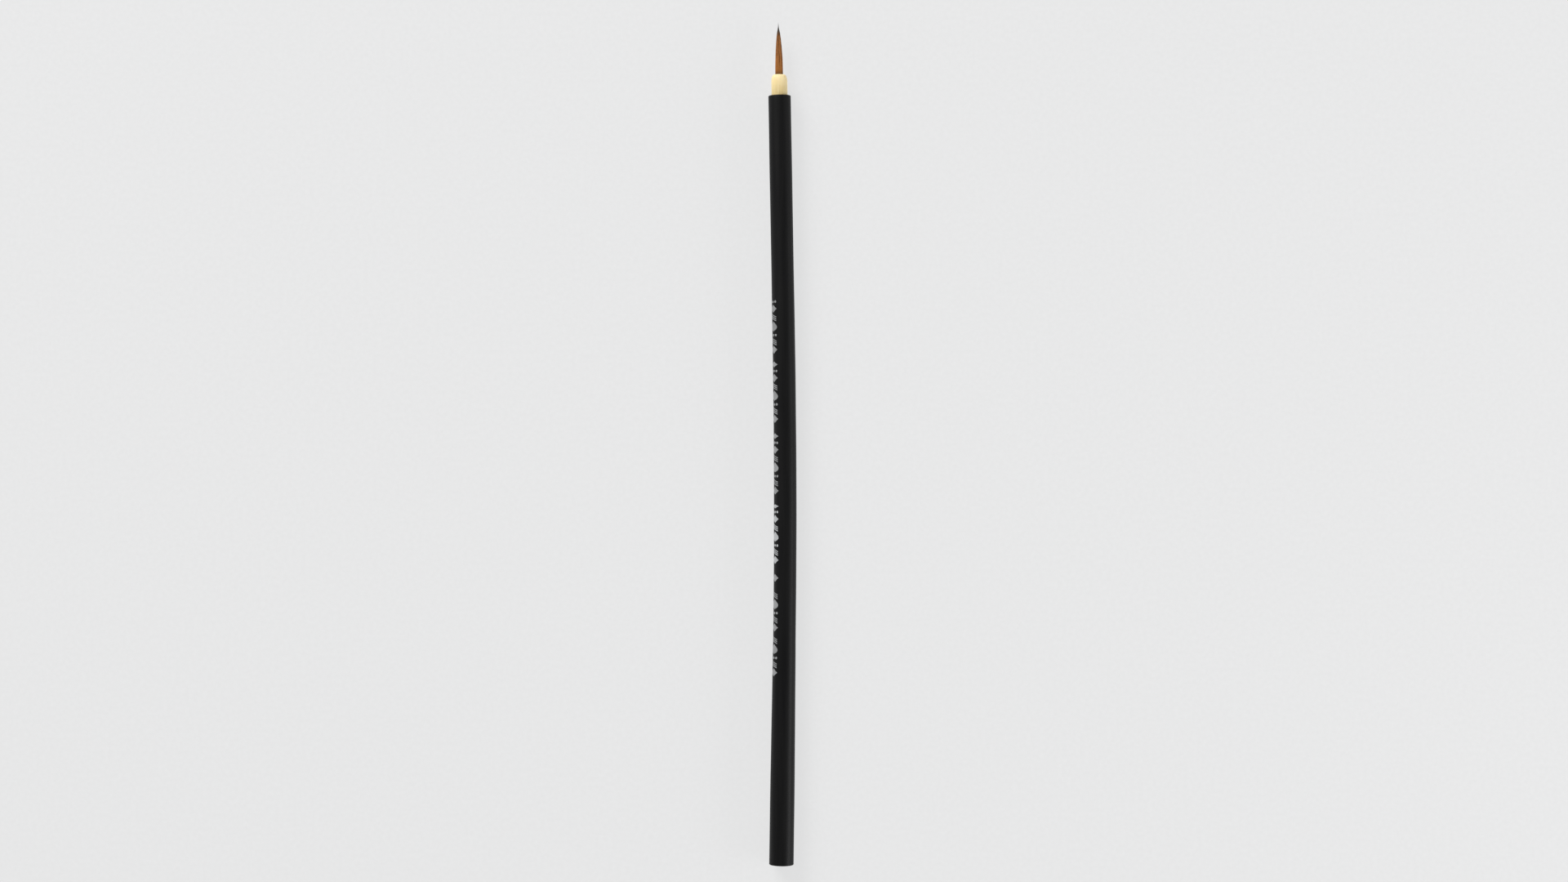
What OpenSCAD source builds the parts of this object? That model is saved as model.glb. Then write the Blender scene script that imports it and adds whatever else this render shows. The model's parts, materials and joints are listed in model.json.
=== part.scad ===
// Fine-line brush in the double-shaft style: a black lacquered bamboo handle, a slimmer pale bamboo
// ferrule glued into it, and a tapered tuft of brown hair tied, sealed and glued into the ferrule.
// The brush lies on its side along +Y, tip forward, with the lowest line of its butt on z = 0.
// The handle has a slight natural bow: straight at both ends, curved towards +X in between.

/* [Handle] */
// Length of the handle from its butt face to its rim
handle_len = 189; // [155:1:240]
// Diameter of the parallel stretch at the butt
butt_d = 6; // [5:0.1:7.2]
// Diameter of the handle above the swelling
shaft_d = 5.56; // [4.9:0.02:6.8]
// Length of the parallel stretch at the butt
butt_grip_len = 22; // [14:1:32]
// Length of the straight end at the butt, swelling included
butt_straight = 55; // [45:1:66]
// Length of the bowed stretch along the axis
bow_len = 75; // [40:1:78]
// Radius of the natural bow
bow_radius = 2450; // [1500:50:6000]
// Diameter of the hollow inside the culm
pith_d = 2.6; // [1.8:0.1:3.2]
// Edge break at the butt and at the rim
edge_break = 0.25; // [0.1:0.05:0.4]

/* [Butt plug] */
// Diameter of the dowel that closes the butt
plug_d = 3.6; // [3.3:0.1:4.4]
// Length of the dowel
plug_len = 9; // [5:0.5:12]
// Thickness of the glue behind the dowel
plug_glue_t = 0.5; // [0.3:0.1:1]

/* [Ferrule] */
// Diameter of the ferrule
ferrule_d = 3.9; // [3.4:0.05:4.7]
// Diameter of the ferrule at its mouth
mouth_d = 2.65; // [2.6:0.05:3.4]
// Length of the ferrule that stands out of the handle
ferrule_out = 5.15; // [3.5:0.05:8]
// Length of the rounded shoulder below the mouth
shoulder_len = 1.8; // [0.6:0.1:2.5]
// Length of the ferrule inside the handle
spigot_len = 15; // [9:0.5:20]
// Thickness of the glue behind the ferrule
ferrule_glue_t = 0.6; // [0.3:0.1:1]
// Diameter of the natural hole along the ferrule
ferrule_pith_d = 1; // [0.5:0.1:1.3]

/* [Tuft] */
// Diameter of the tuft where it leaves the ferrule
tuft_d = 1.92; // [1.6:0.02:2.32]
// Length of the hair outside the ferrule
tuft_out = 12.9; // [10.6:0.1:16]
// Length of the hair inside the ferrule, seal included
root_len = 8; // [6:0.5:12]
// Length of the finely drawn point of the tuft
point_len = 3.1; // [2:0.1:3.6]
// Share of its radius that the drawn point loses
point_slim = 0.62; // [0:0.02:0.7]
// How far the cover hairs reach out of the ferrule
cover_reach = 10.2; // [9.2:0.1:10.5]
// How far the belly hairs reach out of the ferrule
belly_reach = 8.2; // [7:0.1:9]
// Thickness of the layer of cover hairs at the bending point
cover_wall = 0.22; // [0.15:0.01:0.3]
// Share of the radius inside the cover hairs that the life hairs fill at the bending point
life_share = 0.5; // [0.35:0.05:0.7]
// Diameter of the hair core inside the ferrule
core_d = 1.1; // [0.8:0.05:1.2]
// Thickness of the sealed disc at the root of the tuft
seal_t = 0.4; // [0.2:0.05:0.6]
// Thickness of the glue under the seal
tuft_glue_t = 0.8; // [0.4:0.1:1.5]
// Diameter of the binding thread
thread_d = 0.16; // [0.12:0.01:0.2]
// Turns of the binding thread
thread_turns = 5; // [3:1:8]
// Height of the first turn of thread above the seal
thread_height = 0.7; // [0.4:0.1:1.5]

/* [Bending] */
// Distance of the bending point from the ferrule's mouth
pivot_out = 5; // [4:0.1:5.5]
// Largest bend to each side, in degrees
bend_max = 40; // [20:1:50]

/* [Fits] */
// Radial room for glue between wooden pieces
glue_line = 0.03; // [0.01:0.01:0.06]
// Radial room for glue round the root of the tuft
root_line = 0.04; // [0.03:0.01:0.08]
// Room between layers of hair, and between hair and thread
hair_gap = 0.02; // [0.01:0.01:0.03]
// Radial room between the moving and the fixed hair
joint_gap = 0.05; // [0.03:0.01:0.08]

/* [Hidden] */
$fn = 96;
// Steps along a curved profile
steps = 8;
// Sides that a full circle of the bow's radius would have
bow_sides = 3600;
// Each straight end of the culm is this much slimmer than the bow, and reaches this far into it,
// so that no two skins coincide
seam_step = 0.01;
seam_lap = 1;
// The bending hairs clear the fixed ones by this many degrees more than the largest bend
bend_margin = 5;
// Overlap of neighbouring turns of thread, as a share of its diameter
thread_overlap = 0.08;
// Overrun of every cut past the face that it opens
overrun = 1;
// Lead-in at the ends of plugs and bores
lead = 0.15;

butt_r = butt_d / 2;
shaft_r = shaft_d / 2;
end_r = shaft_r - seam_step;
pith_r = pith_d / 2;
plug_r = plug_d / 2;
ferrule_r = ferrule_d / 2;
mouth_r = mouth_d / 2;
tuft_r = tuft_d / 2;
core_r = core_d / 2;
thread_r = thread_d / 2;

// The bow, and where its middle lies so that the whole brush is centred on the origin
lean = bow_len / 2 / bow_radius * 180 / PI;
tip_straight = handle_len - butt_straight - bow_len;
tip_reach = tip_straight + ferrule_out + tuft_out;
bow_rise = bow_radius * (1 - cos(lean));
bow_half = bow_radius * sin(lean);
butt_low = bow_rise + butt_straight * sin(lean) + butt_r;
bow_x = (butt_low - shaft_r) / 2;
bow_y = ((butt_straight - tip_reach) * cos(lean)) / 2;
axis_z = max(butt_r, shaft_r);

// Sockets and bores
socket_r = ferrule_r + glue_line;
socket_depth = spigot_len + ferrule_glue_t;
plug_bore_r = plug_r + glue_line;
plug_bore_depth = plug_len + plug_glue_t;
cup_r = tuft_r + root_line;
cup_depth = root_len + tuft_glue_t;

// The tied waist of the tuft's root
waist_r = tuft_r - thread_d;
turn_r = waist_r + hair_gap / 2 + thread_r;
thread_pitch = thread_d * (1 - thread_overlap);
waist_low = -root_len + seal_t + thread_height - thread_r - hair_gap;
waist_high = waist_low + (thread_turns - 1) * thread_pitch + thread_d + 2 * hair_gap;

// The bending point: a ball of hair in a cup of hair
ball_r = tuft_r_at(pivot_out);
ball_cup_r = ball_r + joint_gap;
relief_angle = bend_max + bend_margin;
relief_r = ball_cup_r * cos(relief_angle);
relief_s = pivot_out - ball_cup_r * sin(relief_angle);
root_edge_s = relief_s + (ball_r - relief_r) / tan(relief_angle);

// How much of the drawn point's slimming has set in at s: 0 below the point, 1 near the tip
function point_at(s) = max(0, min(1, (s - tuft_out + point_len) / (point_len - 0.5)));
function point_ease(s) = pow(point_at(s), 2) * (3 - 2 * point_at(s));
// Radius of the tuft at a distance s out of the ferrule
function tuft_r_at(s) = tuft_r * (1 - pow(s / tuft_out, 2)) * (1 - point_slim * point_ease(s));
// Inner radius of the cover hairs
function cover_in_at(s) =
    tuft_r_at(s) - cover_wall * (cover_reach - s) / (cover_reach - pivot_out);
// Outer radius of what lies inside the cover hairs
function inside_at(s) = cover_in_at(s) - hair_gap;
// Share of that radius held by the life hairs, 1 where the belly hairs end
function share_at(s) =
    life_share + (1 - life_share) * (s - pivot_out) / (belly_reach - pivot_out);
function life_at(s) = share_at(s) * (inside_at(s) - hair_gap);
// Back of the ball at radius r, and the floor of its cup
function ball_back(r) = pivot_out - sqrt(ball_r * ball_r - r * r);
function cup_floor(r) = pivot_out - sqrt(ball_cup_r * ball_cup_r - r * r);
// Values from a to b in equal steps
function spread(a, b) = [for (i = [0:steps]) a + (b - a) * i / steps];

// Children stand on the butt face, their +Z along the handle
module on_butt() {
    butt_x = bow_x - bow_rise - butt_straight * sin(lean);
    butt_y = bow_y - bow_half - butt_straight * cos(lean);
    translate([butt_x, butt_y, axis_z])
        rotate([0, 0, -lean])
            rotate([-90, 0, 0])
                children();
}

// Children stand on the handle's rim, their +Z along the ferrule
module on_rim() {
    rim_x = bow_x - bow_rise - tip_straight * sin(lean);
    rim_y = bow_y + bow_half + tip_straight * cos(lean);
    translate([rim_x, rim_y, axis_z])
        rotate([0, 0, lean])
            rotate([-90, 0, 0])
                children();
}

// Children stand on the ferrule's mouth, their +Z along the tuft
module on_mouth() {
    on_rim()
        translate([0, 0, ferrule_out])
            children();
}

// A rod of radius r along the bow, longer by more at each end
module bow_rod(r, more = 0) {
    extra = more / bow_radius * 180 / PI;
    translate([bow_x, bow_y, axis_z])
        translate([-bow_radius, 0, 0])
            rotate([0, 0, -lean - extra])
                rotate_extrude(angle = 2 * (lean + extra), $fn = bow_sides)
                    translate([bow_radius, 0])
                        circle(r = r, $fn = 96);
}

// The butt end, turned round its own axis
module butt_end() {
    rotate_extrude()
        polygon([
            [0, 0],
            [butt_r - edge_break, 0],
            [butt_r, edge_break],
            [butt_r, butt_grip_len],
            [end_r, butt_straight],
            [end_r, butt_straight + seam_lap],
            [0, butt_straight + seam_lap]
        ]);
}

// The rim end, turned round its own axis
module rim_end() {
    rotate_extrude()
        polygon([
            [0, -tip_straight - seam_lap],
            [end_r, -tip_straight - seam_lap],
            [end_r, -edge_break],
            [end_r - edge_break, 0],
            [0, 0]
        ]);
}

module handle_culm() {
    color([0.09, 0.09, 0.09])
        difference() {
            union() {
                on_butt() butt_end();
                bow_rod(shaft_r);
                on_rim() rim_end();
            }
            bow_rod(pith_r);
            on_butt() {
                translate([0, 0, plug_bore_depth - overrun])
                    cylinder(h = butt_straight - plug_bore_depth + overrun + seam_lap, r = pith_r - seam_step);
                translate([0, 0, -overrun])
                    cylinder(h = plug_bore_depth + overrun, r = plug_bore_r);
            }
            on_rim() {
                translate([0, 0, -tip_straight - seam_lap])
                    cylinder(h = tip_straight - socket_depth + overrun + seam_lap, r = pith_r - seam_step);
                translate([0, 0, -socket_depth])
                    cylinder(h = socket_depth + overrun, r = socket_r);
            }
        }
}

module butt_plug() {
    color([0.12, 0.11, 0.1])
        on_butt()
            rotate_extrude()
                polygon([
                    [0, 0],
                    [plug_r, 0],
                    [plug_r, plug_len - lead],
                    [plug_r - lead, plug_len],
                    [0, plug_len]
                ]);
}

module plug_glue() {
    color([0.72, 0.6, 0.36])
        on_butt()
            translate([0, 0, plug_len])
                cylinder(h = plug_glue_t, r = plug_r);
}

module ferrule() {
    shoulder = [
        for (a = spread(0, 90))
            [
                mouth_r + (ferrule_r - mouth_r) * cos(a),
                ferrule_out - shoulder_len * (1 - sin(a))
            ]
    ];
    color([0.95, 0.87, 0.66])
        on_rim()
            difference() {
                rotate_extrude()
                    polygon(concat(
                        [[0, -spigot_len], [ferrule_r - lead, -spigot_len], [ferrule_r, lead - spigot_len]],
                        shoulder,
                        [[0, ferrule_out]]
                    ));
                translate([0, 0, ferrule_out - cup_depth])
                    cylinder(h = cup_depth + overrun, r = cup_r);
                translate([0, 0, -spigot_len - overrun])
                    cylinder(h = spigot_len + ferrule_out - cup_depth + 2 * overrun, d = ferrule_pith_d);
            }
}

module ferrule_glue() {
    color([0.72, 0.6, 0.36])
        on_rim()
            translate([0, 0, -socket_depth])
                cylinder(h = ferrule_glue_t, r = ferrule_r);
}

module tuft_glue() {
    color([0.62, 0.45, 0.2])
        on_mouth()
            translate([0, 0, -cup_depth])
                cylinder(h = tuft_glue_t, r = tuft_r);
}

module root_seal() {
    color([0.16, 0.1, 0.06])
        on_mouth()
            translate([0, 0, -root_len])
                cylinder(h = seal_t, r = waist_r);
}

module binding_thread() {
    color([0.88, 0.84, 0.74])
        on_mouth()
            for (i = [0:thread_turns - 1])
                translate([0, 0, waist_low + hair_gap + thread_r + i * thread_pitch])
                    rotate_extrude()
                        translate([turn_r, 0])
                            circle(r = thread_r, $fn = 32);
}

module core_hair_root() {
    cup = [for (r = spread(core_r, 0)) [r, cup_floor(r)]];
    color([0.42, 0.27, 0.13])
        on_mouth()
            rotate_extrude()
                polygon(concat([[0, -root_len + seal_t], [core_r, -root_len + seal_t]], cup));
}

module cover_hair_root() {
    inner_r = core_r + hair_gap;
    coat = [for (s = spread(0, root_edge_s)) [tuft_r_at(s), s]];
    cup = [for (r = spread(relief_r, inner_r)) [r, cup_floor(r)]];
    color([0.5, 0.33, 0.16])
        on_mouth()
            rotate_extrude()
                polygon(concat(
                    [
                        [inner_r, -root_len + seal_t],
                        [waist_r, -root_len + seal_t],
                        [waist_r, waist_high],
                        [tuft_r, waist_high + thread_d]
                    ],
                    coat,
                    cup
                ));
}

module life_hairs() {
    back = [for (r = spread(0, life_at(pivot_out))) [r, ball_back(r)]];
    core = [for (s = spread(pivot_out, belly_reach)) [life_at(s), s]];
    throat = [for (s = spread(belly_reach + hair_gap, cover_reach)) [inside_at(s), s]];
    tip = [for (s = spread(cover_reach, tuft_out)) [tuft_r_at(s), s]];
    color([0.36, 0.24, 0.14])
        on_mouth()
            rotate_extrude()
                polygon(concat(back, core, throat, tip));
}

module belly_hairs() {
    low = life_at(pivot_out) + hair_gap;
    high = inside_at(pivot_out);
    back = [for (r = spread(low, high)) [r, ball_back(r)]];
    outside = [for (s = spread(pivot_out, belly_reach)) [inside_at(s), s]];
    inside = [for (s = spread(belly_reach, pivot_out)) [life_at(s) + hair_gap, s]];
    color([0.45, 0.29, 0.14])
        on_mouth()
            rotate_extrude()
                polygon(concat(back, outside, inside));
}

module cover_hairs() {
    back = [for (r = spread(cover_in_at(pivot_out), ball_r)) [r, ball_back(r)]];
    outside = [for (s = spread(pivot_out, cover_reach - hair_gap)) [tuft_r_at(s), s]];
    inside = [for (s = spread(cover_reach - hair_gap, pivot_out)) [cover_in_at(s), s]];
    color([0.55, 0.36, 0.18])
        on_mouth()
            rotate_extrude()
                polygon(concat(back, outside, inside));
}

handle_culm();
butt_plug();
plug_glue();
ferrule();
ferrule_glue();
tuft_glue();
root_seal();
binding_thread();
core_hair_root();
cover_hair_root();
life_hairs();
belly_hairs();
cover_hairs();
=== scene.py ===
import json
import math

import bpy
import numpy as np
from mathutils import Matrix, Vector


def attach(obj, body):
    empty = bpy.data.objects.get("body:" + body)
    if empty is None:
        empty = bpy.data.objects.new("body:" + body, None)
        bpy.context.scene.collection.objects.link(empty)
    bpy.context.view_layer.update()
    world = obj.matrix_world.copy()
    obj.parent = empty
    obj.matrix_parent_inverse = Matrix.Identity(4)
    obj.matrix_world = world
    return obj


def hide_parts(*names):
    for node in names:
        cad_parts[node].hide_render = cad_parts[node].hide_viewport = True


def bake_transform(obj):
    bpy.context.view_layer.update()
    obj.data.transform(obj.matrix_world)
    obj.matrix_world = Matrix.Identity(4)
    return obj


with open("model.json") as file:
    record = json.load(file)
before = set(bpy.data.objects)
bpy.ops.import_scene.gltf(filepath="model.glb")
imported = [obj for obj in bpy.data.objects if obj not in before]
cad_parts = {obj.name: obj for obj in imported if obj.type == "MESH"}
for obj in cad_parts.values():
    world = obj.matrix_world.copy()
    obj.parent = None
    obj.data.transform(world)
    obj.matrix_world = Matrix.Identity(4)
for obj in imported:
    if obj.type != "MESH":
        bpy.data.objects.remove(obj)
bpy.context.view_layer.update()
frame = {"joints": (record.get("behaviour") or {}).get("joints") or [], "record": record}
record = frame["record"]
rng = np.random.default_rng(7)
TAU = 2 * math.pi

# ---------------------------------------------------------------- sizes of the design, in millimetres

# Handle: a stretch of full width at the butt, a straight stretch, a bow, and a straight shaft
HANDLE_LEN = 189.0
BUTT_GRIP = 22.0
BUTT_STRAIGHT = 55.0
BOW_LEN = 75.0
BUTT_R = 3.0
SHAFT_R = 2.78
PITH_R = 1.3
EDGE_ROUND = 0.22

# Dowel in the butt
PLUG_R = 1.8
PLUG_LEN = 9.0
PLUG_GLUE = 0.5

# Ferrule: its stretch in the handle's socket, its stretch outside, and its rounded shoulder
SPIGOT = 15.0
FERRULE_GLUE = 0.6
FERRULE_OUT = 5.15
FERRULE_R = 1.95
FERRULE_PITH_R = 0.5
SHOULDER = 1.8
MOUTH_R = 1.325

# Tuft: its root inside the ferrule, tied to a waist and sealed at its end, and its free stretch
ROOT_LEN = 8.0
SEAL_T = 0.4
TUFT_GLUE = 0.8
WAIST_R = 0.8
TUFT_R = 0.96
TUFT_OUT = 12.9
PIVOT_OUT = 5.0

# Thread: it starts a little above the seal
THREAD_R = 0.08
THREAD_TURNS = 5
THREAD_START = 0.7

# Clearances of the glued fits, and the gap between poured pieces and their neighbours
GLUE_LINE = 0.03
ROOT_LINE = 0.04
POUR_GAP = 0.01

# Places along the brush, counted from the butt face
SOCKET_FLOOR = HANDLE_LEN - (SPIGOT + FERRULE_GLUE)
SPIGOT_END = HANDLE_LEN - SPIGOT
BORE_FLOOR = PLUG_LEN + PLUG_GLUE
MOUTH_S = HANDLE_LEN + FERRULE_OUT
ROOT_S = MOUTH_S - ROOT_LEN
CUP_FLOOR = ROOT_S - TUFT_GLUE
CUP_R = TUFT_R + ROOT_LINE

# ---------------------------------------------------------------- where the brush lies

butt_face = next(m for m in record["mounts"] if m["name"] == "butt_face")
BUTT = np.array(butt_face["pos_m"]) * 1000
PIVOT = np.array(frame["joints"][0]["pos_m"]) * 1000
LEAN = math.atan2(-butt_face["axis"][0], -butt_face["axis"][1])
BUTT_DIR = np.array([math.sin(LEAN), math.cos(LEAN), 0.0])
TIP_DIR = np.array([-math.sin(LEAN), math.cos(LEAN), 0.0])
UP = np.array([0.0, 0.0, 1.0])
MOUTH = PIVOT - PIVOT_OUT * TIP_DIR
RIM = MOUTH - FERRULE_OUT * TIP_DIR
BOW_R = BOW_LEN / 2 / LEAN


def along(s):
    """Centre and sideways direction of the brush's axis at distances s from the butt."""
    s = np.atleast_1d(np.asarray(s, float))
    turn = np.clip((s - BUTT_STRAIGHT) / BOW_LEN, 0, 1)
    lean = LEAN * (1 - 2 * turn)
    zero = 0 * lean
    start = BUTT + BUTT_STRAIGHT * BUTT_DIR
    arc = np.stack([np.cos(lean) - math.cos(LEAN), math.sin(LEAN) - np.sin(lean), zero], 1)
    low = BUTT + s[:, None] * BUTT_DIR
    high = RIM + (s - HANDLE_LEN)[:, None] * TIP_DIR
    bow = start + BOW_R * arc
    centre = np.where((turn <= 0)[:, None], low, np.where((turn >= 1)[:, None], high, bow))
    side = np.stack([np.cos(lean), -np.sin(lean), zero], 1)
    return centre, side


def shell_points(s, r, phi):
    """Points at radius r and angle phi (0 at +X, a quarter turn at the top) round the axis at s."""
    centre, side = along(s.ravel())
    r, phi = r.ravel()[:, None], phi.ravel()[:, None]
    return centre + r * (np.cos(phi) * side + np.sin(phi) * UP)


def smooth(x, low, high):
    """0 below low, 1 above high, and an eased rise between them."""
    t = np.clip((x - low) / (high - low), 0, 1)
    return t * t * (3 - 2 * t)


# ---------------------------------------------------------------- meshes

def make(name, points, faces, material, attributes=None, sharp=None):
    """A piece from points in millimetres; edges sharper than sharp degrees stay hard."""
    mesh = bpy.data.meshes.new(name)
    mesh.from_pydata((np.asarray(points) / 1000).tolist(), [], [tuple(f) for f in faces])
    mesh.validate()
    mesh.update()
    mesh.polygons.foreach_set("use_smooth", [True] * len(mesh.polygons))
    for key, values in (attributes or {}).items():
        layer = mesh.attributes.new(key, "FLOAT", "POINT")
        layer.data.foreach_set("value", np.asarray(values, np.float32))
    if sharp:
        mesh.set_sharp_from_angle(angle=math.radians(sharp))
    mesh.materials.append(material)
    piece = bpy.data.objects.new(name, mesh)
    bpy.context.scene.collection.objects.link(piece)
    return piece


def ring_faces(rows, cols, closed=False):
    """Quads between rings of cols points each; closed joins the last ring to the first."""
    i = np.arange(rows if closed else rows - 1)[:, None]
    j = np.arange(cols)[None]
    here, above = i * cols, (i + 1) % rows * cols
    after = (j + 1) % cols
    corners = (here + j, here + after, above + after, above + j)
    return np.stack([c.ravel() for c in corners], 1).tolist()


def tube_faces(rows, cols):
    """Faces of open rings that end in two fans; the fans' centres are the two points after the rings."""
    centre, last = rows * cols, (rows - 1) * cols
    first_fan = [(centre, (j + 1) % cols, j) for j in range(cols)]
    last_fan = [(centre + 1, last + j, last + (j + 1) % cols) for j in range(cols)]
    return ring_faces(rows, cols) + first_fan + last_fan


def joined(parts):
    """The points and faces of several (points, faces) parts as one."""
    points, faces, count = [], [], 0
    for part_points, part_faces in parts:
        points.append(part_points)
        faces += [tuple(corner + count for corner in face) for face in part_faces]
        count += len(part_points)
    return np.vstack(points), faces


def turned(name, profile, cols, material, relief, closed=False, sharp=35, attributes=None):
    """A piece turned round the axis. profile lists (s, r), and relief gives its shifts in s and r.
    closed joins the profile to its own start, and only then may attributes name functions of s, r, phi."""
    ring = np.arange(cols) * TAU / cols
    s, phi = np.meshgrid([p[0] for p in profile], ring, indexing="ij")
    r = np.repeat(np.array(profile, float)[:, 1:], cols, 1)
    shift_s, shift_r = relief(s, r, phi)
    s, r = s + shift_s, r + shift_r
    points = shell_points(s, r, phi)
    if closed:
        faces = ring_faces(len(profile), cols, closed=True)
    else:
        faces = tube_faces(len(profile), cols)
        points = np.vstack([points, along([profile[0][0], profile[-1][0]])[0]])
    values = {key: f(s.ravel(), r.ravel(), phi.ravel()) for key, f in (attributes or {}).items()}
    return make(name, points, faces, material, values, sharp)


def tube(centres, radii, sides, twist=0.0):
    """Points and faces of a thin round tube along a line, with one radius for each of its centres."""
    forward = np.gradient(centres, axis=0)
    forward /= np.linalg.norm(forward, axis=1)[:, None]
    across = np.cross(forward, [0.31, 0.12, 0.94])
    across /= np.linalg.norm(across, axis=1)[:, None]
    other = np.cross(forward, across)
    phi = np.arange(sides) * TAU / sides + twist
    ring = np.cos(phi)[None, :, None] * across[:, None] + np.sin(phi)[None, :, None] * other[:, None]
    points = (centres[:, None] + ring * radii[:, None, None]).reshape(-1, 3)
    return np.vstack([points, centres[:1], centres[-1:]]), tube_faces(len(centres), sides)


# ---------------------------------------------------------------- materials

class Shader:
    """A new material with a Principled surface. Its methods add nodes and return their output."""

    def __init__(self, name):
        self.material = bpy.data.materials.new(name)
        self.material.use_nodes = True
        self.nodes = self.material.node_tree.nodes
        self.links = self.material.node_tree.links
        self.surface = self.nodes["Principled BSDF"]
        self.coords = self.nodes.new("ShaderNodeTexCoord").outputs["Object"]

    def fill(self, socket, value):
        """Link value to a socket if it is a node's output, or else set the socket to it."""
        if isinstance(value, bpy.types.NodeSocket):
            self.links.new(value, socket)
        else:
            socket.default_value = value

    def put(self, name, value):
        self.fill(self.surface.inputs[name], value)

    def noise(self, scale, stretch=(1, 1, 1), detail=4.0, rough=0.55, offset=(0, 0, 0)):
        mapping = self.nodes.new("ShaderNodeMapping")
        mapping.inputs["Scale"].default_value = stretch
        mapping.inputs["Location"].default_value = offset
        self.links.new(self.coords, mapping.inputs["Vector"])
        texture = self.nodes.new("ShaderNodeTexNoise")
        texture.inputs["Scale"].default_value = scale
        texture.inputs["Detail"].default_value = detail
        texture.inputs["Roughness"].default_value = rough
        self.links.new(mapping.outputs["Vector"], texture.inputs["Vector"])
        return texture.outputs["Fac"]

    def ramp(self, value, *stops):
        """Colours along value; each stop is (place, colour)."""
        node = self.nodes.new("ShaderNodeValToRGB")
        elements = node.color_ramp.elements
        while len(elements) < len(stops):
            elements.new(0.5)
        for element, (place, colour) in zip(elements, stops):
            element.position = place
            element.color = (*colour, 1.0)
        self.links.new(value, node.inputs["Fac"])
        return node.outputs["Color"]

    def mix(self, factor, a, b, mode="MIX"):
        node = self.nodes.new("ShaderNodeMix")
        node.data_type = "RGBA"
        node.blend_type = mode
        for name, value in (("Factor", factor), ("A", a), ("B", b)):
            self.fill(node.inputs[name], (*value, 1.0) if isinstance(value, tuple) else value)
        return node.outputs["Result"]

    def remap(self, value, low, high, to_low, to_high):
        node = self.nodes.new("ShaderNodeMapRange")
        node.inputs["From Min"].default_value = low
        node.inputs["From Max"].default_value = high
        node.inputs["To Min"].default_value = to_low
        node.inputs["To Max"].default_value = to_high
        self.links.new(value, node.inputs["Value"])
        return node.outputs["Result"]

    def attribute(self, key):
        node = self.nodes.new("ShaderNodeAttribute")
        node.attribute_name = key
        return node.outputs["Fac"]

    def bump(self, height, strength, distance):
        node = self.nodes.new("ShaderNodeBump")
        node.inputs["Strength"].default_value = strength
        node.inputs["Distance"].default_value = distance
        self.links.new(height, node.inputs["Height"])
        self.put("Normal", node.outputs["Normal"])


def lacquer_material():
    """Black lacquer with a satin skin and a little dust."""
    paint = Shader("black_lacquer")
    broad = paint.noise(900.0, stretch=(1, 0.05, 1), detail=3.0)
    fine = paint.noise(6000.0, stretch=(1, 0.6, 1), detail=5.0, rough=0.65)
    tone = paint.ramp(broad, (0.3, (0.0042, 0.0042, 0.0045)), (0.7, (0.0072, 0.0071, 0.0072)))
    dust = paint.remap(fine, 0.66, 0.78, 0.0, 0.35)
    paint.put("Base Color", paint.mix(dust, tone, (0.04, 0.04, 0.042)))
    paint.put("Roughness", paint.remap(fine, 0.3, 0.7, 0.40, 0.56))
    paint.put("Specular IOR Level", 0.125)
    paint.bump(fine, strength=0.25, distance=0.00002)
    return paint.material


def bamboo_material():
    """Shaved bamboo: long fibres on its side, pores on its end, and darker next to the handle, which is
    painted shade together with some handling dirt.
    """
    bamboo = Shader("pale_bamboo")
    streak = bamboo.noise(4200.0, stretch=(1, 0.03, 1), detail=5.0, rough=0.6)
    patch = bamboo.noise(500.0, stretch=(1, 0.5, 1), detail=3.0, rough=0.5, offset=(3, 1, 2))
    pores = bamboo.noise(9000.0, stretch=(1, 0.2, 1), detail=2.0, rough=0.5, offset=(7, 7, 7))
    base = bamboo.ramp(patch, (0.3, (0.82, 0.66, 0.34)), (0.7, (0.92, 0.775, 0.46)))
    lines = bamboo.ramp(
        streak, (0.28, (0.62, 0.50, 0.34)), (0.42, (0.95, 0.92, 0.86)), (0.7, (1.0, 1.0, 1.0)))
    grain = bamboo.ramp(
        pores, (0.36, (0.42, 0.27, 0.12)), (0.46, (0.82, 0.65, 0.38)), (0.7, (0.92, 0.78, 0.52)))
    side = bamboo.mix(0.75, base, lines, "MULTIPLY")
    # Painted shade, with some handling dirt, darkens the side next to the handle
    side = bamboo.mix(bamboo.attribute("rim_shade_and_grime"), side, (0.80, 0.785, 0.725), "MULTIPLY")
    bamboo.put("Base Color", bamboo.mix(bamboo.attribute("end_grain"), side, grain))
    bamboo.put("Roughness", bamboo.remap(streak, 0.3, 0.7, 0.62, 0.48))
    bamboo.put("Specular IOR Level", 0.35)
    bamboo.put("Subsurface Weight", 0.12)
    bamboo.put("Subsurface Radius", (0.0006, 0.0004, 0.0002))
    bamboo.put("Subsurface Scale", 1.0)
    bamboo.bump(streak, strength=0.3, distance=0.00002)
    return bamboo.material


def hair_material(name, root, middle, bright, dark):
    """Hair whose colour changes from the mouth to the dark point, and a little from hair to hair."""
    hair = Shader(name)
    body = hair.ramp(
        hair.attribute("reach"),
        (0.0, root), (0.1, bright), (0.42, middle), (0.74, middle), (0.84, dark))
    tone = hair.ramp(
        hair.attribute("tone"),
        (0.0, (0.5, 0.47, 0.45)), (0.5, (0.92, 0.9, 0.88)), (1.0, (1.3, 1.24, 1.12)))
    scales = hair.noise(20000.0, stretch=(1, 0.5, 1), detail=2.0)
    hair.put("Base Color", hair.mix(1.0, body, tone, "MULTIPLY"))
    hair.put("Roughness", hair.remap(scales, 0.3, 0.7, 0.42, 0.58))
    hair.put("Specular IOR Level", 0.35)
    return hair.material


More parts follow.
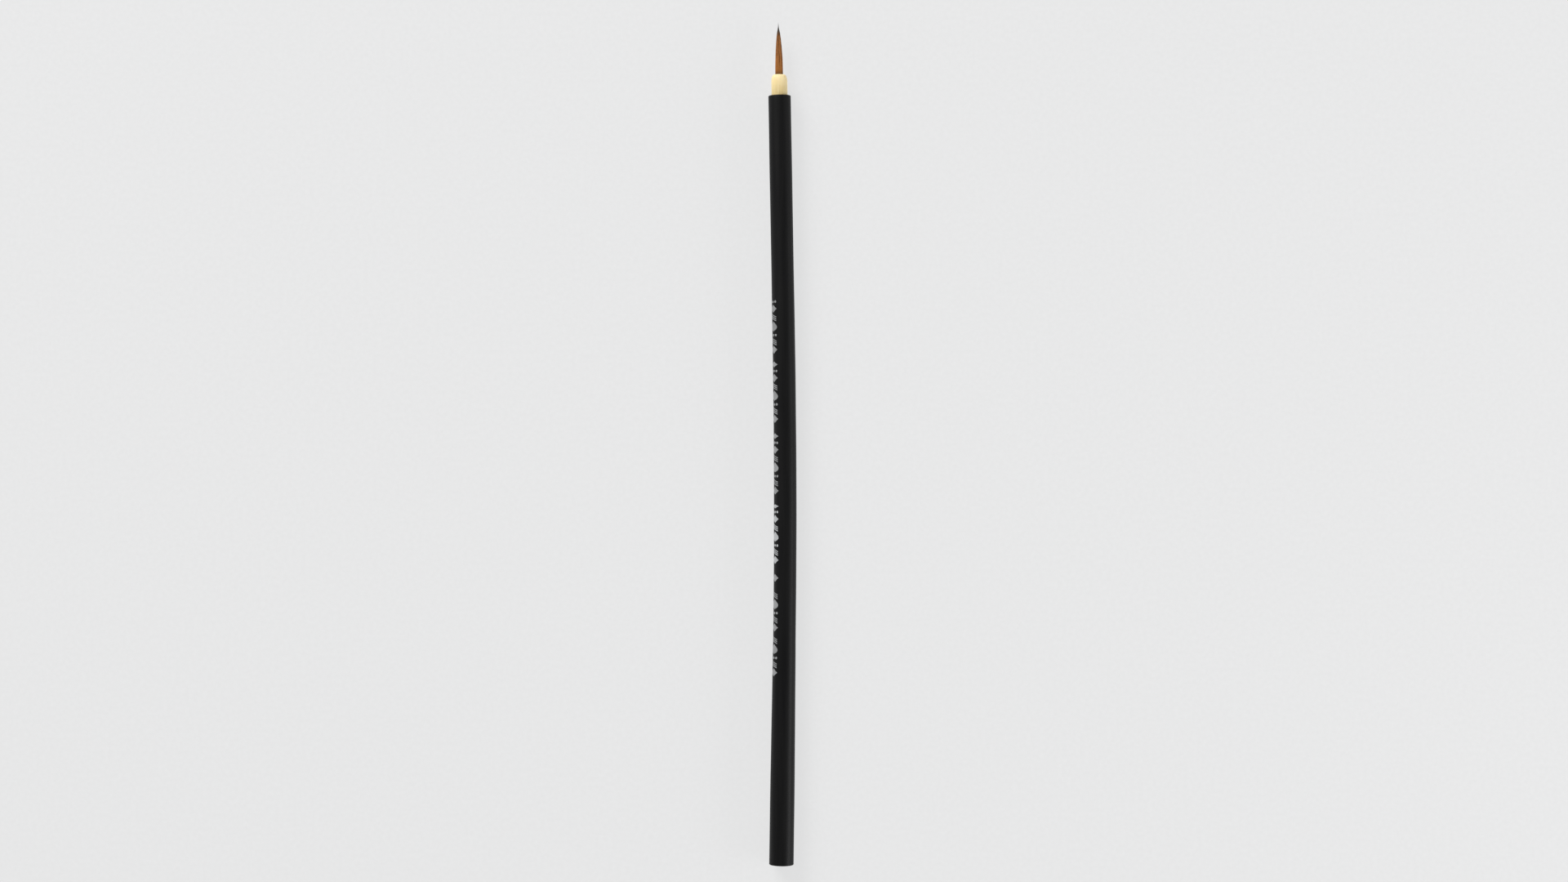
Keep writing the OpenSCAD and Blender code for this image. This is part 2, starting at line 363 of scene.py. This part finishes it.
def mark_material():
    """Thin grey paint, rubbed through in places; the attribute tone makes it lighter."""
    paint = Shader("mark_paint")
    rubbed = paint.noise(5200.0, stretch=(1, 0.7, 1), detail=5.0, rough=0.7)
    tint = paint.ramp(paint.attribute("tone"), (0.0, (0.14, 0.14, 0.14)), (1.0, (0.40, 0.41, 0.42)))
    bare = paint.remap(rubbed, 0.58, 0.72, 0.0, 0.7)
    paint.put("Base Color", paint.mix(bare, tint, (0.03, 0.03, 0.03)))
    paint.put("Roughness", 0.55)
    return paint.material


def mottled(name, dark, light, scale, rough, transmission=0.0):
    """Wood, glue, resin or fibre that varies between two colours."""
    stuff = Shader(name)
    blotch = stuff.noise(scale, detail=5.0, rough=0.6)
    stuff.put("Base Color", stuff.ramp(blotch, (0.32, dark), (0.68, light)))
    stuff.put("Roughness", stuff.remap(blotch, 0.3, 0.7, rough * 0.8, rough * 1.2))
    stuff.put("Transmission Weight", transmission)
    stuff.bump(blotch, strength=0.3, distance=0.00003)
    return stuff.material


LACQUER = lacquer_material()
BAMBOO = bamboo_material()
HAIR_CORE = hair_material(
    "core_hair", root=(0.15, 0.075, 0.024), middle=(0.30, 0.125, 0.037),
    bright=(0.37, 0.15, 0.036), dark=(0.10, 0.088, 0.075))
HAIR_COVER = hair_material(
    "cover_hair", root=(0.21, 0.10, 0.030), middle=(0.45, 0.187, 0.052),
    bright=(0.49, 0.197, 0.042), dark=(0.13, 0.113, 0.095))
MARK = mark_material()
PLUG = mottled("plug_wood", (0.004, 0.004, 0.004), (0.009, 0.0085, 0.008), 3000.0, 0.5)
GLUE = mottled("glue", (0.42, 0.25, 0.08), (0.62, 0.42, 0.17), 2500.0, 0.16, transmission=0.45)
RESIN = mottled("resin", (0.24, 0.11, 0.03), (0.45, 0.24, 0.08), 2500.0, 0.14, transmission=0.45)
SEARED = mottled("seared_hair", (0.008, 0.005, 0.004), (0.05, 0.028, 0.015), 6000.0, 0.7)
THREAD = mottled("thread", (0.52, 0.45, 0.33), (0.78, 0.71, 0.57), 14000.0, 0.75)

# ---------------------------------------------------------------- fibres under a surface


def draw_fibres(count, least, most, lengths, heights):
    """Ripples round the axis: their number in a turn, start, length of one sway, and height."""
    return [
        (int(number), rng.uniform(0, TAU), rng.uniform(*lengths), rng.uniform(*heights))
        for number in rng.integers(least, most, count)
    ]


def with_fibres(height, s, phi, fibres, sway, mean, swing, beat):
    """height with fibres added, which sway round the axis and fade in and out along it."""
    for number, start, length, size in fibres:
        strength = mean + swing * np.sin(s / length * beat + start)
        height = height + size * np.cos(number * phi + start + sway * np.sin(s / length)) * strength
    return height


# ---------------------------------------------------------------- handle

HANDLE_FIBRES = draw_fibres(16, 11, 44, lengths=(25, 90), heights=(0.0004, 0.0014))
# The skin lies this much below the plain radius on average
SKIN_DEPTH = 0.008
# Rings on the two cut faces, which carry their unevenness
RIM_RINGS = (2.45, 2.3, 2.15)
BUTT_RINGS = (2.1, 2.4, 2.65)
FACE_DENTS = 0.008
# Chamfer where the socket and the bore open
LIP = 0.04


def plain_r(s):
    """Radius of the handle without its relief."""
    swell = BUTT_R + (SHAFT_R - BUTT_R) * np.clip((s - BUTT_GRIP) / (BUTT_STRAIGHT - BUTT_GRIP), 0, 1)
    return np.where(s > BUTT_STRAIGHT, SHAFT_R, swell)


def skin(s, phi):
    """Height of the lacquered skin over the plain radius: slow waves, ovality and fibres."""
    height = 0.009 * np.sin(s * TAU / 41 + 0.6) + 0.005 * np.sin(s * TAU / 17.3 + 2.1)
    height = height + 0.008 * np.cos(2 * phi + s / 55) + 0.005 * np.cos(3 * phi - s / 33 + 1.1)
    height = with_fibres(height, s, phi, HANDLE_FIBRES, sway=1.3, mean=0.6, swing=0.4, beat=1.7)
    return height - SKIN_DEPTH


def handle_relief(s, r, phi):
    """The skin on the outside, and slightly uneven cut faces."""
    outside = smooth(r, 0.86 * plain_r(s), 0.93 * plain_r(s))
    on_face = (np.abs(s) < 0.01) | (np.abs(s - HANDLE_LEN) < 0.01)
    inwards = -np.sign(s - HANDLE_LEN / 2)
    dents = FACE_DENTS * np.abs(np.sin(3 * phi + r * 4))
    return np.where(on_face, inwards * dents, 0), outside * skin(s, phi)


def rounded_edge(face, r_out, sign):
    """The edge between a cut face and the outer skin; sign is +1 at the butt and -1 at the rim."""
    return [
        (face + sign * EDGE_ROUND * (1 - math.cos(a)), r_out - EDGE_ROUND * (1 - math.sin(a)))
        for a in np.linspace(0, math.pi / 2, 7)
    ]


def handle_profile():
    """Up the outside from butt to rim, and back down through the socket, the pith and the bore."""
    socket_r, bore_r = FERRULE_R + GLUE_LINE, PLUG_R + GLUE_LINE
    profile = rounded_edge(0, BUTT_R, 1)
    profile += [(s, float(plain_r(s))) for s in np.arange(0.8, HANDLE_LEN - 0.6, 0.66)]
    profile += rounded_edge(HANDLE_LEN, SHAFT_R, -1)[::-1]
    profile += [(HANDLE_LEN, r) for r in (*RIM_RINGS, socket_r + LIP)]
    profile += [(HANDLE_LEN - LIP, socket_r)]
    profile += [(s, socket_r) for s in np.linspace(HANDLE_LEN - 0.5, SOCKET_FLOOR, 12)]
    profile += [(SOCKET_FLOOR, PITH_R)]
    profile += [(s, PITH_R) for s in np.linspace(SOCKET_FLOOR - 2, BORE_FLOOR + 2, 60)]
    profile += [(BORE_FLOOR, PITH_R), (BORE_FLOOR, bore_r), (LIP, bore_r)]
    profile += [(0, r) for r in (bore_r + LIP, *BUTT_RINGS)]
    return profile


def build_handle():
    piece = turned("handle", handle_profile(), 144, LACQUER, handle_relief, closed=True, sharp=40)
    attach(piece, "handle")
    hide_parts("handle_culm")


# ---------------------------------------------------------------- dowel in the butt

# The end lies this far inside the butt face, and its rings of growth stand this high
DOWEL_DEPTH = 0.03
RING_HEIGHT = 0.012


def dowel_relief(s, r, phi):
    """Rings of growth that stand up slightly on the end."""
    rings = RING_HEIGHT * np.sin(r * 17 + 1.5 * np.cos(phi) + 0.6 * np.cos(3 * phi))
    return np.where(s < 0.02, DOWEL_DEPTH + rings, 0), np.zeros_like(r)


def dowel_profile():
    profile = [(0, r) for r in np.linspace(0.05, PLUG_R - 0.1, 16)]
    profile += [(0.03, PLUG_R - 0.03), (0.1, PLUG_R)]
    profile += [(s, PLUG_R) for s in np.linspace(0.8, PLUG_LEN - 0.15, 8)]
    profile += [(PLUG_LEN, PLUG_R - 0.15), (PLUG_LEN, 0.4)]
    return profile


def build_dowel():
    piece = turned("butt_dowel", dowel_profile(), 72, PLUG, dowel_relief)
    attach(piece, "handle")
    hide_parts("butt_plug")


# ---------------------------------------------------------------- painted marks on the left side

# Groups of plain ornament: where each starts and ends along the handle, and its brightness
GROUPS = [
    (46.4, 56.4, 0.42), (57.4, 66.8, 0.42), (69.6, 72.0, 0.42), (74.0, 88.6, 1.0),
    (91.0, 106.0, 0.42), (108.6, 123.6, 0.42), (125.6, 138.6, 0.38),
]
MOTIFS = ("lozenge", "hatch", "dots", "leaf", "hatch", "lozenge", "dots")
MOTIF_LEN = {"lozenge": 1.9, "leaf": 2.4, "hatch": 1.5, "dots": 1.0}
MOTIF_GAP = 0.35
# Degrees left of the top between which the motifs lie; dots come in three rows
MOTIF_BAND = (37, 88)
HATCH_BAND = (40, 86)
DOT_ROWS = ((38, 51), (56, 69), (74, 87))
# A mark has two grids of points, one just above the lacquer and one just below it
MARK_GRID = 9
PAINT_TOP, PAINT_FOOT = 0.011, -0.006


def half_span(kind, u):
    """Half of a mark's span round the handle, as a share, at shares u of its length."""
    if kind == "lozenge":
        return 0.5 * (1 - np.abs(2 * u - 1)) + 0.02
    if kind == "leaf":
        return 0.5 * np.sin(np.pi * u ** 0.8) + 0.02
    if kind == "dot":
        return 0.5 * np.sqrt(np.clip(1 - (2 * u - 1) ** 2, 0.004, 1))
    return np.full_like(u, 0.5)


def mark_faces(n):
    """Faces of two layers of n by n points, joined all round their rim."""
    upper = np.arange(n * n).reshape(n, n)
    faces = []
    for i in range(n - 1):
        for j in range(n - 1):
            a, b, c, d = upper[i, j], upper[i, j + 1], upper[i + 1, j + 1], upper[i + 1, j]
            faces += [(a, b, c, d), (a + n * n, d + n * n, c + n * n, b + n * n)]
    rim = [*upper[0, :-1], *upper[:-1, -1], *upper[-1, :0:-1], *upper[:0:-1, 0]]
    faces += [(a, a + n * n, b + n * n, b) for a, b in zip(rim, rim[1:] + rim[:1])]
    return faces


def mark(kind, start, length, band, tone, slant=0.0):
    """Points and tones of one raised patch of paint; band is where it lies round the handle.
    slant is how far its last edge in the band lies beyond its first edge along the handle."""
    u = np.linspace(0, 1, MARK_GRID)
    s = u[:, None] * length
    middle, span = sum(band) / 2, band[1] - band[0]
    phi = np.radians(90 + middle + span * half_span(kind, u)[:, None] * np.linspace(-1, 1, MARK_GRID))
    place = start + s + slant * (np.degrees(phi) - 90 - middle) / span
    # Paint edges are a little uneven
    place = place + 0.02 * np.sin(9 * phi + start)
    surface = plain_r(place) + skin(place, phi)
    layers = [shell_points(place, surface + lift, phi) for lift in (PAINT_TOP, PAINT_FOOT)]
    tones = np.repeat(tone + 0.08 * np.sin(3 * start + s), MARK_GRID)
    return np.vstack(layers), np.tile(tones, len(layers))


def motif(kind, s, length, tone):
    """The marks of one motif."""
    if kind == "hatch":
        return [mark("bar", s + 0.15 + 0.45 * k, 0.24, HATCH_BAND, tone, slant=0.8) for k in range(3)]
    if kind == "dots":
        return [mark("dot", s + 0.1, 0.62, row, tone) for row in DOT_ROWS]
    return [mark(kind, s, length, MOTIF_BAND, tone)]


def build_marks():
    marks = []
    for first, last, tone in GROUPS:
        s, step = first, 0
        while s < last - 0.5:
            kind = MOTIFS[step % len(MOTIFS)]
            length = min(MOTIF_LEN[kind], last - s)
            marks += motif(kind, s, length, tone)
            s += length + MOTIF_GAP
            step += 1
    points, faces = joined([(mark_points, mark_faces(MARK_GRID)) for mark_points, _ in marks])
    tones = np.concatenate([mark_tones for _, mark_tones in marks])
    piece = make("handle_marks", points, faces, MARK, {"tone": tones}, 35)
    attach(piece, "handle")


# ---------------------------------------------------------------- ferrule

SHAVES = rng.uniform(0, TAU, 9)
GRAIN = draw_fibres(22, 17, 62, lengths=(3, 9), heights=(0.0008, 0.0028))
# Width of the rounding between the shoulder and the face round the cup
RIM_EDGE = 0.07
PORE_DEPTH = 0.012
FLAT_DEPTH = 0.022


def ferrule_relief(s, r, phi):
    """Fibres and whittled flats on the side, and pores on the face round the cup."""
    outside = smooth(r, 1.08, 1.25)
    on_side = outside * (1 - smooth(s, MOUTH_S - 0.1, MOUTH_S - 0.01))
    height = 0.010 * np.cos(2 * phi + 0.7) + 0.004 * np.sin(s * 1.3 + 2 * phi)
    height = with_fibres(height, s, phi, GRAIN, sway=0.8, mean=0.55, swing=0.45, beat=2.1)
    flats = np.zeros_like(phi)
    for place in SHAVES:
        flats = np.maximum(flats, np.cos(phi - place) ** 41)
    height = height - FLAT_DEPTH * flats * smooth(s, MOUTH_S - SHOULDER - 0.4, MOUTH_S - 0.5)
    pores = PORE_DEPTH * np.sin(23 * phi + 9 * r) * np.sin(31 * r + 2 * np.sin(7 * phi))
    on_face = smooth(s, MOUTH_S - 0.02, MOUTH_S) * smooth(r, CUP_R + 0.05, CUP_R + 0.1)
    return on_face * (pores - PORE_DEPTH), on_side * height


def ferrule_profile():
    """Up the outside and over the shoulder to the mouth, and back down through the cup and the pith."""
    profile = [(SPIGOT_END, r) for r in (FERRULE_PITH_R, 0.9, 1.4, FERRULE_R - 0.15)]
    profile += [(s, FERRULE_R) for s in np.linspace(SPIGOT_END + 0.15, HANDLE_LEN, 20)]
    profile += [(s, FERRULE_R) for s in np.linspace(HANDLE_LEN + 0.2, MOUTH_S - SHOULDER - 0.1, 14)]
    profile += [
        (MOUTH_S - SHOULDER * (1 - math.sin(a)), MOUTH_R + (FERRULE_R - MOUTH_R) * math.cos(a))
        for a in np.linspace(0, math.pi / 2 - 0.12, 18)
    ]
    profile += [(MOUTH_S - 0.008, MOUTH_R - 0.01), (MOUTH_S, MOUTH_R - RIM_EDGE)]
    profile += [(MOUTH_S, r) for r in np.linspace(MOUTH_R - RIM_EDGE - 0.03, CUP_R + 0.05, 9)]
    profile += [(MOUTH_S - 0.015, CUP_R + 0.015), (MOUTH_S - 0.06, CUP_R)]
    profile += [(s, CUP_R) for s in np.linspace(MOUTH_S - 0.5, CUP_FLOOR, 14)]
    profile += [(CUP_FLOOR, FERRULE_PITH_R), (SPIGOT_END + 1, FERRULE_PITH_R)]
    return profile


def end_grain(s, r, phi):
    """1 on the face round the cup, where the bamboo is cut across."""
    return smooth(s, MOUTH_S - 0.05, MOUTH_S - 0.01) * smooth(r, CUP_R - 0.02, CUP_R + 0.02)


def rim_shade_and_grime(s, r, phi):
    """How far the ferrule is darkened by painted shade and some handling dirt, most next to the handle."""
    return 0.9 * (1 - smooth(s, HANDLE_LEN + 0.2, HANDLE_LEN + 3.6 + 0.4 * np.sin(3 * phi)))


def build_ferrule():
    piece = turned(
        "ferrule_shaft", ferrule_profile(), 160, BAMBOO, ferrule_relief, closed=True, sharp=50,
        attributes={"end_grain": end_grain, "rim_shade_and_grime": rim_shade_and_grime})
    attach(piece, "handle")
    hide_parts("ferrule")


# ---------------------------------------------------------------- glue and seal

def lump(name, node, low, high, r, material, sag, rough):
    """A poured or melted disc between low and high, hollowed a little at its upper face."""
    depth = high - low
    rim = 0.12 * depth
    profile = [(low, k * r) for k in (0.1, 0.3, 0.5, 0.7, 0.88)] + [(low + rim * 0.4, r * 0.985)]
    profile += [(s, r) for s in np.linspace(low + rim, high - rim * 0.3, 5)]
    profile += [(high - sag * depth * (1 - k * k), k * r) for k in (0.97, 0.88, 0.7, 0.5, 0.3, 0.1)]

    def relief(s, radius, phi):
        wave = np.sin(5 * phi + 6 * radius) * np.sin(3 * phi - 9 * radius + 1) * rough
        return wave * depth, -np.abs(wave) * 0.3

    piece = turned(name, profile, 56, material, relief, sharp=50)
    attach(piece, "handle")
    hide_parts(node)


def build_lumps():
    lump(
        "glue_behind_dowel", "plug_glue", PLUG_LEN + POUR_GAP, BORE_FLOOR, PLUG_R,
        GLUE, sag=0.35, rough=0.04)
    lump(
        "glue_behind_ferrule", "ferrule_glue", SOCKET_FLOOR, SPIGOT_END - POUR_GAP, FERRULE_R,
        GLUE, sag=0.2, rough=0.04)
    lump(
        "glue_under_tuft", "tuft_glue", CUP_FLOOR, ROOT_S - POUR_GAP, TUFT_R,
        RESIN, sag=0.1, rough=0.03)
    lump(
        "seared_root", "root_seal", ROOT_S, ROOT_S + SEAL_T, WAIST_R,
        SEARED, sag=0.15, rough=0.09)


# ---------------------------------------------------------------- thread

FIRST_TURN = ROOT_S + SEAL_T + THREAD_START
TURN_R = WAIST_R + 0.01 + THREAD_R
PITCH = 2 * THREAD_R * 0.92
# The thread has two plies that wind round each other
PLY_R = 0.044
PLY_OUT = 0.034
LAY_LEN = 0.42


def build_thread():
    turn = np.linspace(0, TAU * THREAD_TURNS, 900)
    wound = FIRST_TURN - PITCH / 2 + PITCH * turn / TAU
    plies = []
    for start in (0.0, math.pi):
        lay = turn * TURN_R * TAU / LAY_LEN + start
        line = shell_points(wound + PLY_OUT * np.cos(lay), TURN_R + PLY_OUT * np.sin(lay), turn)
        plies.append(tube(line, np.full(len(turn), PLY_R), 6))
    points, faces = joined(plies)
    piece = make("wound_thread", points, faces, THREAD)
    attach(piece, "handle")
    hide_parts("binding_thread")


# ---------------------------------------------------------------- hair

HAIR_COUNT = 540
HAIR_R = 0.0375
HAIR_SIDES = 6
ROOT_STATIONS, FREE_STATIONS = 8, 26
GOLDEN_ANGLE = 2.399963
WAIST_LOW = FIRST_TURN - THREAD_R - 0.02
WAIST_HIGH = WAIST_LOW + (THREAD_TURNS - 1) * PITCH + 2 * THREAD_R + 0.04
# The tuft's outline: how late it narrows, and the slim point that it ends in
TAPER = 2.3
POINT_LEN = 2.8
POINT_SLIM = 0.55
# Locks of hair that stand a little proud: their number round the tuft, their start, their height
LOCKS = [(5, 0.4, 0.030), (8, 2.0, 0.022), (13, 4.1, 0.014)]
LIFE, BELLY, COVER = range(3)
# Shares of the hairs, counted from the core, at which the life hairs and the belly hairs end
LIFE_END = 0.22
BELLY_END = 0.62
STRAY_SHARE = 0.05
# Of each kind: its shortest reach, its longest reach, and how the reaches crowd towards the longest
REACHES = {LIFE: (10.2, TUFT_OUT - 0.02, 1.0), BELLY: (2.6, 8.4, 0.9), COVER: (7.0, 10.6, 1.0)}

# Life hairs are at the core of the tuft, belly hairs round them, and cover hairs outside
rank = (np.arange(HAIR_COUNT) + 0.5) / HAIR_COUNT
kinds = np.where(rank < LIFE_END, LIFE, np.where(rank < BELLY_END, BELLY, COVER))
angle = np.arange(HAIR_COUNT) * GOLDEN_ANGLE + rng.normal(0, 0.05, HAIR_COUNT)
reach = np.zeros(HAIR_COUNT)
for kind, (shortest, longest, power) in REACHES.items():
    members = np.flatnonzero(kinds == kind)
    share = (rng.permutation(len(members)) + 0.5) / len(members)
    reach[members] = shortest + (longest - shortest) * share ** power
reach[np.argmax(np.where(kinds == LIFE, reach, 0))] = TUFT_OUT
thick = HAIR_R * rng.uniform(0.86, 1.14, HAIR_COUNT)
sway_speed = rng.uniform(0.5, 1.1, HAIR_COUNT)
sway_start = rng.uniform(0, TAU, HAIR_COUNT)
stands_off = (kinds == COVER) & (rng.uniform(0, 1, HAIR_COUNT) < STRAY_SHARE)
stray = np.where(stands_off, rng.uniform(0.02, 0.05, HAIR_COUNT), 0)
hair_tone = np.clip(rng.normal(0.5, 0.2, HAIR_COUNT), 0, 1)


def tuft_radius(z):
    """Radius of the tuft at a distance z out of the mouth, negative inside it."""
    radius = TUFT_R * (1 - (np.clip(z, 0, TUFT_OUT) / TUFT_OUT) ** TAPER)
    radius = radius * (1 - POINT_SLIM * smooth(z, TUFT_OUT - POINT_LEN, TUFT_OUT - 0.5))
    tied = 1 - smooth(z, WAIST_HIGH - MOUTH_S, WAIST_HIGH - MOUTH_S + 0.5)
    return radius - (TUFT_R - WAIST_R) * tied


def hair_radius(z, end, r):
    """Radius of a hair at z: full as far as its last stretch, then drawn to a fine point."""
    left = np.clip((end - z) / np.minimum(5.5, 0.5 * end + 1.5), 0, 1)
    return r * (0.16 + 0.84 * left ** 0.75)


def hair_places():
    """Levels along the tuft, and each hair's place at them as a share of the tuft's radius. At each
    level the hairs that reach it share the area out, so that they fill the tuft as they end."""
    levels = np.concatenate([np.linspace(-ROOT_LEN + SEAL_T - 0.1, 0, 24), np.linspace(0.15, TUFT_OUT, 90)])
    places = np.zeros((len(levels), HAIR_COUNT))
    for i, z in enumerate(levels):
        area = np.where(reach > z, hair_radius(z, reach, thick) ** 2, 0)
        area = area * smooth(reach - z, 0, 0.8) + 1e-9
        inner = np.cumsum(area) - area / 2
        places[i] = np.sqrt(inner / area.sum())
    # The paths across neighbouring levels are eased, so that no hair has a kink
    for _ in range(3):
        places[1:-1] = 0.25 * places[:-2] + 0.5 * places[1:-1] + 0.25 * places[2:]
    return levels, places


LEVELS, PLACES = hair_places()


def hair_line(i):
    """Distances out of the mouth along hair i, its centre line there and its radius."""
    free = reach[i] * (1 - (1 - np.linspace(0.02, 1, FREE_STATIONS)) ** 1.25)
    z = np.concatenate([np.linspace(-ROOT_LEN + SEAL_T - 0.05, -0.2, ROOT_STATIONS), free])
    r_hair = hair_radius(np.maximum(z, 0), reach[i], thick[i])
    share = np.interp(z, LEVELS, PLACES[:, i])
    phi = angle[i] + 0.05 * np.sin(z * sway_speed[i] + sway_start[i]) * smooth(z, -1, 4)
    swell = np.zeros_like(z)
    for number, start, size in LOCKS:
        swell += size * np.cos(number * phi + start + 0.1 * z)
    swell *= smooth(z, 0.2, 4) * (1 - smooth(z, 10.0, 12.4)) * smooth(share, 0.5, 0.95)
    radius = share * (tuft_radius(z) * (1 + swell) - r_hair)
    # A few hairs of the coat stand off a little where they end
    radius = radius + stray[i] * smooth(z, reach[i] - 3.5, reach[i] + 0.5)
    return z, shell_points(MOUTH_S + z, np.maximum(radius, 0), phi), r_hair


def build_hairs(kind, name, replaced, material):
    """All hairs of one kind as one piece."""
    hairs, reaches, tones = [], [], []
    for i in np.flatnonzero(kinds == kind):
        z, line, r_hair = hair_line(i)
        hairs.append(tube(line, r_hair, HAIR_SIDES, sway_start[i]))
        out = np.concatenate([np.repeat(z, HAIR_SIDES), z[:1], z[-1:]])
        reaches.append(np.clip(out / TUFT_OUT, 0, 1))
        tones.append(np.clip(hair_tone[i] - 0.25 * smooth(out, reach[i] - 1.5, reach[i]), 0, 1))
    points, faces = joined(hairs)
    attributes = {"reach": np.concatenate(reaches), "tone": np.concatenate(tones)}
    piece = make(name, points, faces, material, attributes)
    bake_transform(piece)
    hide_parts(*replaced)


def build_tuft():
    build_hairs(LIFE, "hair_life", ("life_hairs", "core_hair_root"), HAIR_CORE)
    build_hairs(BELLY, "hair_belly", ("belly_hairs",), HAIR_CORE)
    build_hairs(COVER, "hair_cover", ("cover_hairs", "cover_hair_root"), HAIR_COVER)


# ---------------------------------------------------------------- floor, light and camera, in metres

FLOOR_HALF = 2.0
FLOOR_Z = -0.00003
CAMERA_PLACE = (0.0004, 0.0006, 0.655)
CAMERA_ROLL = -0.12  # degrees
LENS = 60.9  # millimetres, behind a frame 36 millimetres wide


def floor_material():
    """Pale paper; its own light makes it as even as a lit studio table."""
    floor = Shader("studio_floor")
    paper = floor.noise(900.0, detail=3.0)
    floor.put("Base Color", floor.ramp(paper, (0.3, (0.11, 0.11, 0.112)), (0.7, (0.13, 0.13, 0.132))))
    floor.put("Emission Color", (0.995, 0.998, 1.0, 1.0))
    floor.put("Emission Strength", 0.685)
    floor.put("Roughness", 0.9)
    floor.put("Specular IOR Level", 0.1)
    return floor.material


def build_floor():
    corners = [(x * FLOOR_HALF, y * FLOOR_HALF, FLOOR_Z) for x, y in ((-1, -1), (1, -1), (1, 1), (-1, 1))]
    mesh = bpy.data.meshes.new("studio_floor")
    mesh.from_pydata(corners, [], [(0, 1, 2, 3)])
    mesh.materials.append(floor_material())
    floor = bpy.data.objects.new("studio_floor", mesh)
    bpy.context.scene.collection.objects.link(floor)


def build_world():
    world = bpy.data.worlds.new("studio")
    bpy.context.scene.world = world
    world.use_nodes = True
    background = world.node_tree.nodes["Background"]
    background.inputs["Color"].default_value = (0.97, 0.98, 1.0, 1.0)
    background.inputs["Strength"].default_value = 0.30


def soft_light(name, place, target, size, power, colour=(1, 1, 1)):
    """A rectangular lamp at place that faces target."""
    light = bpy.data.lights.new(name, "AREA")
    light.shape = "RECTANGLE"
    light.size, light.size_y = size
    light.energy = power
    light.color = colour
    lamp = bpy.data.objects.new(name, light)
    bpy.context.scene.collection.objects.link(lamp)
    lamp.location = place
    lamp.rotation_mode = "QUATERNION"
    lamp.rotation_quaternion = (Vector(target) - Vector(place)).to_track_quat("-Z", "Y")
    lamp.visible_camera = False


def build_lights():
    soft_light(
        "key", place=(-0.8, 1.15, 0.86), target=(0, 0, 0), size=(0.9, 0.7), power=30.0,
        colour=(1.0, 0.99, 0.975))
    soft_light("side", place=(0.6, -0.22, 0.2), target=(0, -0.08, 0), size=(0.5, 0.2), power=2.6)


def build_camera():
    """Straight above the brush, which runs up the picture from butt to tip."""
    data = bpy.data.cameras.new("camera")
    data.sensor_width = 36
    data.lens = LENS
    data.clip_start = 0.01
    data.clip_end = 20
    camera = bpy.data.objects.new("camera", data)
    bpy.context.scene.collection.objects.link(camera)
    camera.location = CAMERA_PLACE
    camera.rotation_euler = (0, 0, math.radians(CAMERA_ROLL))
    bpy.context.scene.camera = camera
    bpy.context.scene.view_settings.view_transform = "Standard"


build_handle()
build_dowel()
build_marks()
build_ferrule()
build_lumps()
build_thread()
build_tuft()
build_floor()
build_world()
build_lights()
build_camera()
